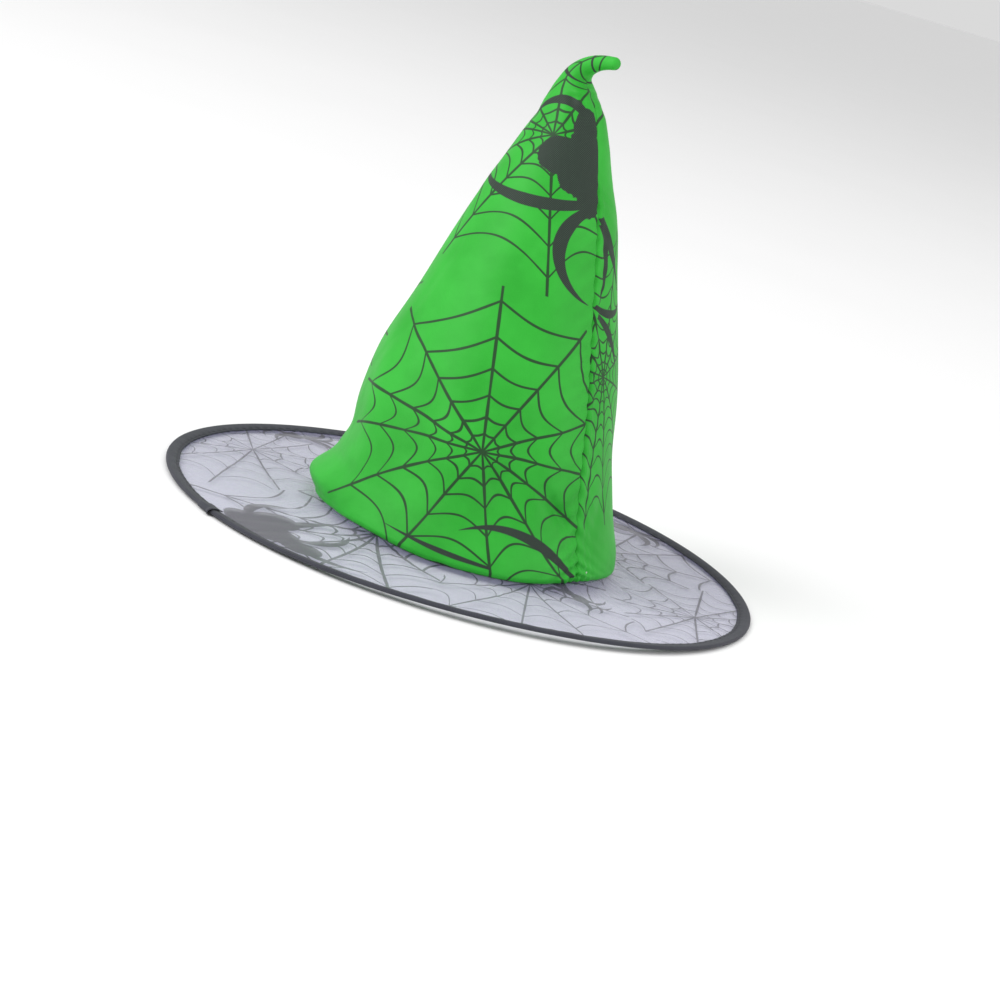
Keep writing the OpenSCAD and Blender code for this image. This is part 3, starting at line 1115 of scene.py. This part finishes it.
def printed_cloth():
    material, g, shader = new_material("printed_green_cloth")
    place = attribute(g, "print")
    lines, solid = crown_ink(g, place)
    threads = weave(g, place, 1.6)
    fine = g.noise(place, 2.2, 3.0, 0.7)
    shade = g.noise(place, 0.025, 3.0, 0.55)
    green = g.mix(g.ramp(shade, 0.35, 0.65), (0.013, 0.33, 0.016, 1), (0.026, 0.42, 0.03, 1))
    green = g.mix(g.ramp(fine, 0.3, 0.7, 0.0, 0.3), green, (0.036, 0.49, 0.042, 1))
    green = g.mix(g.ramp(threads, 0.0, 1.0, 0.0, 0.12), green, (0.02, 0.35, 0.025, 1))
    # The ink's colour: near black in the weave's hollows, lighter grey-green on the thread crowns.
    # This is partly the ink's own weave and partly painted sheen of the shiny cloth.
    ink_and_painted_sheen = g.mix(g.ramp(threads, 0.55, 1.0, 0.0, 0.8), (0.016, 0.026, 0.019, 1), (0.06, 0.1, 0.07, 1))
    worn = g.ramp(g.noise(place, 0.9, 4.0, 0.75), 0.62, 0.8, 1.0, 0.72)
    colour = g.mix(g.times(lines, 0.94), green, (0.011, 0.034, 0.013, 1))
    colour = g.mix(g.times(solid, worn), colour, ink_and_painted_sheen)
    g.feed(shader.inputs["Base Color"], colour)
    g.feed(shader.inputs["Roughness"], g.ramp(solid, 0.0, 1.0, 0.56, 0.66))
    shader.inputs["Sheen Weight"].default_value = 0.06
    shader.inputs["Sheen Roughness"].default_value = 0.45
    shader.inputs["Sheen Tint"].default_value = (0.6, 1.0, 0.6, 1)
    shader.inputs["Specular IOR Level"].default_value = 0.3
    cockle = g.noise(place, 0.09, 3.0, 0.5)
    height = g.plus(g.times(threads, 0.06), g.plus(g.times(fine, 0.08), g.times(cockle, 1.1)))
    bump_into(g, shader, height, 0.35, 1.0 * MM)
    return material


# ---------------------------------------------------------------- the brim's sheer cloth

# Webs on the brim: degrees round from +X, radius in mm, turn in degrees, scale, rings, half a
# line's width in mm.
BRIM_WEBS = (
    (11, 96, 20, 1.4, 5, 1.05),
    (70, 99, 35, 2.1, 4, 0.65),
    (116, 158, 10, 1.5, 5, 0.7),
    (160, 106, 40, 1.5, 5, 0.85),
    (206, 160, 80, 1.6, 5, 0.8),
    (250, 104, 0, 1.7, 4, 0.75),
    (292, 152, 30, 1.9, 4, 0.65),
)
# Spiders on the brim: degrees round, radius, turn in degrees, size.
BRIM_SPIDERS = (
    (84, 110, 200, 1.0),
    (180, 168, 20, 1.4),
    (226, 108, 120, 1.2),
    (266, 170, 60, 1.3),
)
# The large spider at the front edge: its body's ellipses as x, y, half width and half depth, then
# its legs.
BRIM_BODY = ((166, -4, 16, 31), (147, -14, 15, 15), (165, 30, 11, 14))
BRIM_LEGS = (
    ((158, -2), (136, -8), (106, -3), 4.6),
    ((160, 14), (140, 24), (112, 14), 3.6),
    ((160, -22), (142, -38), (116, -32), 3.6),
    ((165, 30), (164, 52), (146, 68), 3.2),
)


def sheer_cloth():
    material, g, shader = new_material("sheer_printed_organza")
    place = g.vec("MULTIPLY", g.where(), (1000, 1000, 0))
    webs, spiders = [], []
    for round_at, out, turn, *rest in BRIM_WEBS:
        webs.append(web(polar(out, round_at, 0)[:2].tolist(), turn * DEG, *rest))
    for round_at, out, turn, size in BRIM_SPIDERS:
        spiders.append(spider(polar(out, round_at, 0)[:2].tolist(), turn * DEG, size))
    inks = [nearest(g, place, web_tree, webs), nearest(g, place, spider_tree, spiders)]
    inks += [leg_ink(g, place, *leg) for leg in BRIM_LEGS]
    for x, y, wide, deep in BRIM_BODY:
        inks.append(g.ramp(oval(g, place, (x, y, 0), (wide, deep)), 1.02, 0.98))
    ink = most(g, inks)
    threads = weave(g, place, 2.2)
    fine = g.noise(place, 1.5, 3.0, 0.7)
    colour = g.mix(ink, (0.33, 0.312, 0.5, 1), (0.046, 0.041, 0.075, 1))
    g.feed(shader.inputs["Base Color"], colour)
    veil = g.ramp(g.plus(g.times(threads, 0.5), g.times(fine, 0.5)), 0.2, 0.8, 0.36, 0.46)
    alpha = g.plus(g.times(veil, g.minus(1.0, ink)), g.times(ink, 0.7))
    g.feed(shader.inputs["Alpha"], alpha)
    shader.inputs["Roughness"].default_value = 0.45
    shader.inputs["Sheen Weight"].default_value = 0.1
    shader.inputs["Sheen Roughness"].default_value = 0.35
    shader.inputs["Specular IOR Level"].default_value = 0.4
    height = g.plus(g.times(threads, 0.1), g.times(g.noise(place, 0.06, 2.0), 0.5))
    bump_into(g, shader, height, 0.2, 1.0 * MM)
    return material


# ---------------------------------------------------------------- the plainer materials


RIBBON_R, EDGE_R = 95.0, 186.0                # radii at which the threads are counted, in mm


def cloth_material(name, dark, light, threads_per_mm, rough, sheen, ribs=False):
    """A woven cloth or tape whose colour drifts between dark and light. ribs is for a ribbon."""
    material, g, shader = new_material(name)
    place = g.vec("MULTIPLY", g.where(), (1000, 1000, 1000))
    x, y, z = g.split(place)
    along = g.times(g.do("ARCTAN2", y, x), RIBBON_R if ribs else EDGE_R)
    if ribs:
        lines = g.do("SINE", g.times(along, threads_per_mm * 2 * math.pi))
        threads = g.plus(0.5, g.times(lines, 0.5))
    else:
        out = g.vec("LENGTH", g.vec("MULTIPLY", place, (1, 1, 0)))
        flat = g.add("ShaderNodeCombineXYZ", {"X": along, "Y": g.plus(out, z)}).outputs[0]
        threads = weave(g, flat, threads_per_mm)
    drift = g.noise(place, 0.06, 4.0, 0.6)
    fuzz = g.noise(place, 3.0, 3.0, 0.7)
    share = g.plus(g.times(threads, 0.45), g.times(g.ramp(drift, 0.3, 0.7), 0.35))
    share = g.plus(share, g.times(fuzz, 0.2))
    g.feed(shader.inputs["Base Color"], g.mix(share, (*dark, 1), (*light, 1)))
    g.feed(shader.inputs["Roughness"], g.ramp(fuzz, 0.2, 0.8, rough - 0.06, rough + 0.06))
    shader.inputs["Sheen Weight"].default_value = sheen
    shader.inputs["Sheen Roughness"].default_value = 0.5
    height = g.plus(threads, g.times(fuzz, 0.5))
    bump_into(g, shader, height, 0.5, 0.25 * MM)
    return material


def fibre_material(name, dark, light):
    """Bonded fibre: a soft tangle with small pits."""
    material, g, shader = new_material(name)
    where = g.where()
    tangle = g.noise(where, 900.0, 4.0, 0.75)
    cells = g.add("ShaderNodeTexVoronoi", {"Vector": where, "Scale": 420.0}).outputs["Distance"]
    share = g.plus(g.times(tangle, 0.7), g.times(cells, 0.5))
    g.feed(shader.inputs["Base Color"], g.mix(share, (*dark, 1), (*light, 1)))
    g.feed(shader.inputs["Roughness"], g.ramp(tangle, 0.2, 0.8, 0.8, 0.95))
    shader.inputs["Sheen Weight"].default_value = 0.2
    bump_into(g, shader, share, 0.6, 0.3 * MM)
    return material


def metal_material(name, colour, rough):
    """Drawn metal with fine lines and a little dulling."""
    material, g, shader = new_material(name)
    where = g.where()
    lines = g.noise(g.vec("MULTIPLY", where, (300, 300, 4000)), 1.0, 3.0, 0.6)
    dull = g.noise(where, 60.0, 4.0, 0.6)
    dark = tuple(0.55 * c for c in colour)
    g.feed(shader.inputs["Base Color"], g.mix(g.ramp(dull, 0.35, 0.7), (*dark, 1), (*colour, 1)))
    g.feed(shader.inputs["Roughness"], g.ramp(lines, 0.3, 0.7, rough - 0.08, rough + 0.12))
    shader.inputs["Metallic"].default_value = 1.0
    bump_into(g, shader, lines, 0.2, 0.05 * MM)
    return material


def thread_material(name, dark, light):
    """Twisted thread."""
    material, g, shader = new_material(name)
    where = g.where()
    twist = g.wave(where, 900.0, "DIAGONAL", 0.6)
    fuzz = g.noise(where, 2500.0, 3.0, 0.7)
    share = g.plus(g.times(twist, 0.7), g.times(fuzz, 0.3))
    g.feed(shader.inputs["Base Color"], g.mix(share, (*dark, 1), (*light, 1)))
    g.feed(shader.inputs["Roughness"], g.ramp(fuzz, 0.2, 0.8, 0.5, 0.7))
    bump_into(g, shader, share, 0.5, 0.1 * MM)
    return material


def paint(obj, material):
    obj.data.materials.clear()
    obj.data.materials.append(material)


def paint_node(name, material):
    """A CAD node that stays: its own material slots take the new material."""
    obj = nodes[name]
    for slot in obj.material_slots:
        slot.material = material


# ---------------------------------------------------------------- build the hat

cloth = crown_cloth()
lining = interlining()
fin = seam_fin()
fibre = tip_filling()
ribbon = sweatband()
label = care_label()
veil = brim_cloth()
tape = binding()
tape_end = binding_lap()
edge_thread = binding_stitches()
wire, sleeve = hoop()

black_thread = thread_material("black_thread", (0.012, 0.012, 0.015), (0.05, 0.05, 0.06))
green_thread = thread_material("green_thread", (0.02, 0.2, 0.03), (0.05, 0.42, 0.07))
tape_cloth = cloth_material(
    "charcoal_tape", (0.02, 0.021, 0.03), (0.05, 0.052, 0.07), 1.3, 0.85, 0.08
)
paint(cloth, printed_cloth())
paint(lining, fibre_material("white_interlining", (0.62, 0.62, 0.58), (0.86, 0.86, 0.83)))
paint(fibre, fibre_material("fibre_filling", (0.75, 0.75, 0.72), (0.92, 0.92, 0.9)))
# piece, material, darkest and lightest colour, threads in a mm, roughness, sheen, ribs
CLOTHS = (
    (fin, "green_cloth_wrong_side", (0.04, 0.3, 0.05), (0.09, 0.5, 0.1), 1.6, 0.8, 0.1, False),
    (ribbon, "black_ribbed_ribbon", (0.012, 0.012, 0.014), (0.045, 0.045, 0.05), 0.9, 0.6, 0.2, True),
    (label, "white_satin_ribbon", (0.72, 0.72, 0.7), (0.88, 0.88, 0.86), 2.0, 0.45, 0.1, True),
)
for piece, *look in CLOTHS:
    paint(piece, cloth_material(*look))
paint(veil, sheer_cloth())
paint(tape, tape_cloth)
paint(tape_end, tape_cloth)
paint(edge_thread, black_thread)
paint(wire, metal_material("spring_wire", (0.56, 0.57, 0.6), 0.32))
paint(sleeve, metal_material("bright_sleeve", (0.72, 0.72, 0.74), 0.28))
paint_node("sweatband_stitches", black_thread)
paint_node("base_seam_stitches", green_thread)
paint_node("back_seam_stitches", green_thread)

# ---------------------------------------------------------------- floor, light and camera


FLOOR_HALF = 60.0


def stage():
    corners = [[(x, y, 0.0) for x in (-FLOOR_HALF, FLOOR_HALF)] for y in (-FLOOR_HALF, FLOOR_HALF)]
    floor = grid("floor", np.array(corners), flip=True)
    material, g, shader = new_material("floor")
    pale = g.mix(g.noise(g.where(), 3.0, 2.0), (0.93, 0.93, 0.93, 1), (0.95, 0.95, 0.95, 1))
    g.feed(shader.inputs["Base Color"], pale)
    shader.inputs["Roughness"].default_value = 0.9
    shader.inputs["Specular IOR Level"].default_value = 0.1
    paint(floor, material)
    world = bpy.context.scene.world or bpy.data.worlds.new("studio")
    bpy.context.scene.world = world
    world.use_nodes = True
    sky = world.node_tree.nodes["Background"]
    sky.inputs["Color"].default_value = (1, 1, 1, 1)
    sky.inputs["Strength"].default_value = 0.7
    bpy.context.scene.view_settings.view_transform = "Standard"


def toward(azimuth, elevation):
    """Unit vector to a place seen at this azimuth and elevation. Azimuth 0 looks along +Y."""
    a, e = azimuth * DEG, elevation * DEG
    return Vector((math.sin(a) * math.cos(e), -math.cos(a) * math.cos(e), math.sin(e)))


def area_light(name, azimuth, elevation, distance, size, power):
    data = bpy.data.lights.new(name, "AREA")
    data.size = size
    data.energy = power
    light = bpy.data.objects.new(name, data)
    aim = Vector((0, 0, LIGHT_AIM_Z))
    light.location = aim + toward(azimuth, elevation) * distance
    light.rotation_euler = (aim - light.location).to_track_quat("-Z", "Y").to_euler()
    bpy.context.collection.objects.link(light)


VIEW_AZIMUTH, VIEW_ELEVATION, VIEW_ROLL = 130, 13.46, 16.62
VIEW_DISTANCE = 1.583
VIEW_LENS, VIEW_SENSOR = 90.59, 36            # mm
LIGHT_AIM_Z = 0.12
# Lights: name, degrees round from the camera, elevation, distance, size and power.
LIGHTS = (
    ("key", -62, 36, 5.5, 3.2, 180),
    ("fill", 70, 25, 5.5, 3.4, 62),
    ("top", 0, 80, 5.0, 4.0, 36),
)
VIEW_RIGHT, VIEW_UP = 25.0 * MM, 21.0 * MM    # how far the camera is moved across its own picture


def camera():
    back = toward(VIEW_AZIMUTH, VIEW_ELEVATION)
    level = Vector((math.cos(VIEW_AZIMUTH * DEG), math.sin(VIEW_AZIMUTH * DEG), 0))
    up = back.cross(level)
    roll = VIEW_ROLL * DEG
    right = math.cos(roll) * level + math.sin(roll) * up
    top = -math.sin(roll) * level + math.cos(roll) * up
    data = bpy.data.cameras.new("camera")
    data.lens = VIEW_LENS
    data.sensor_width = VIEW_SENSOR
    data.clip_end = 50
    obj = bpy.data.objects.new("camera", data)
    turn = Matrix((right, top, back)).transposed().to_4x4()
    place = back * VIEW_DISTANCE + right * VIEW_RIGHT + top * VIEW_UP
    obj.matrix_world = Matrix.Translation(place) @ turn
    bpy.context.collection.objects.link(obj)
    bpy.context.scene.camera = obj


stage()
for name, beside, *rest in LIGHTS:
    area_light(name, VIEW_AZIMUTH + beside, *rest)
camera()
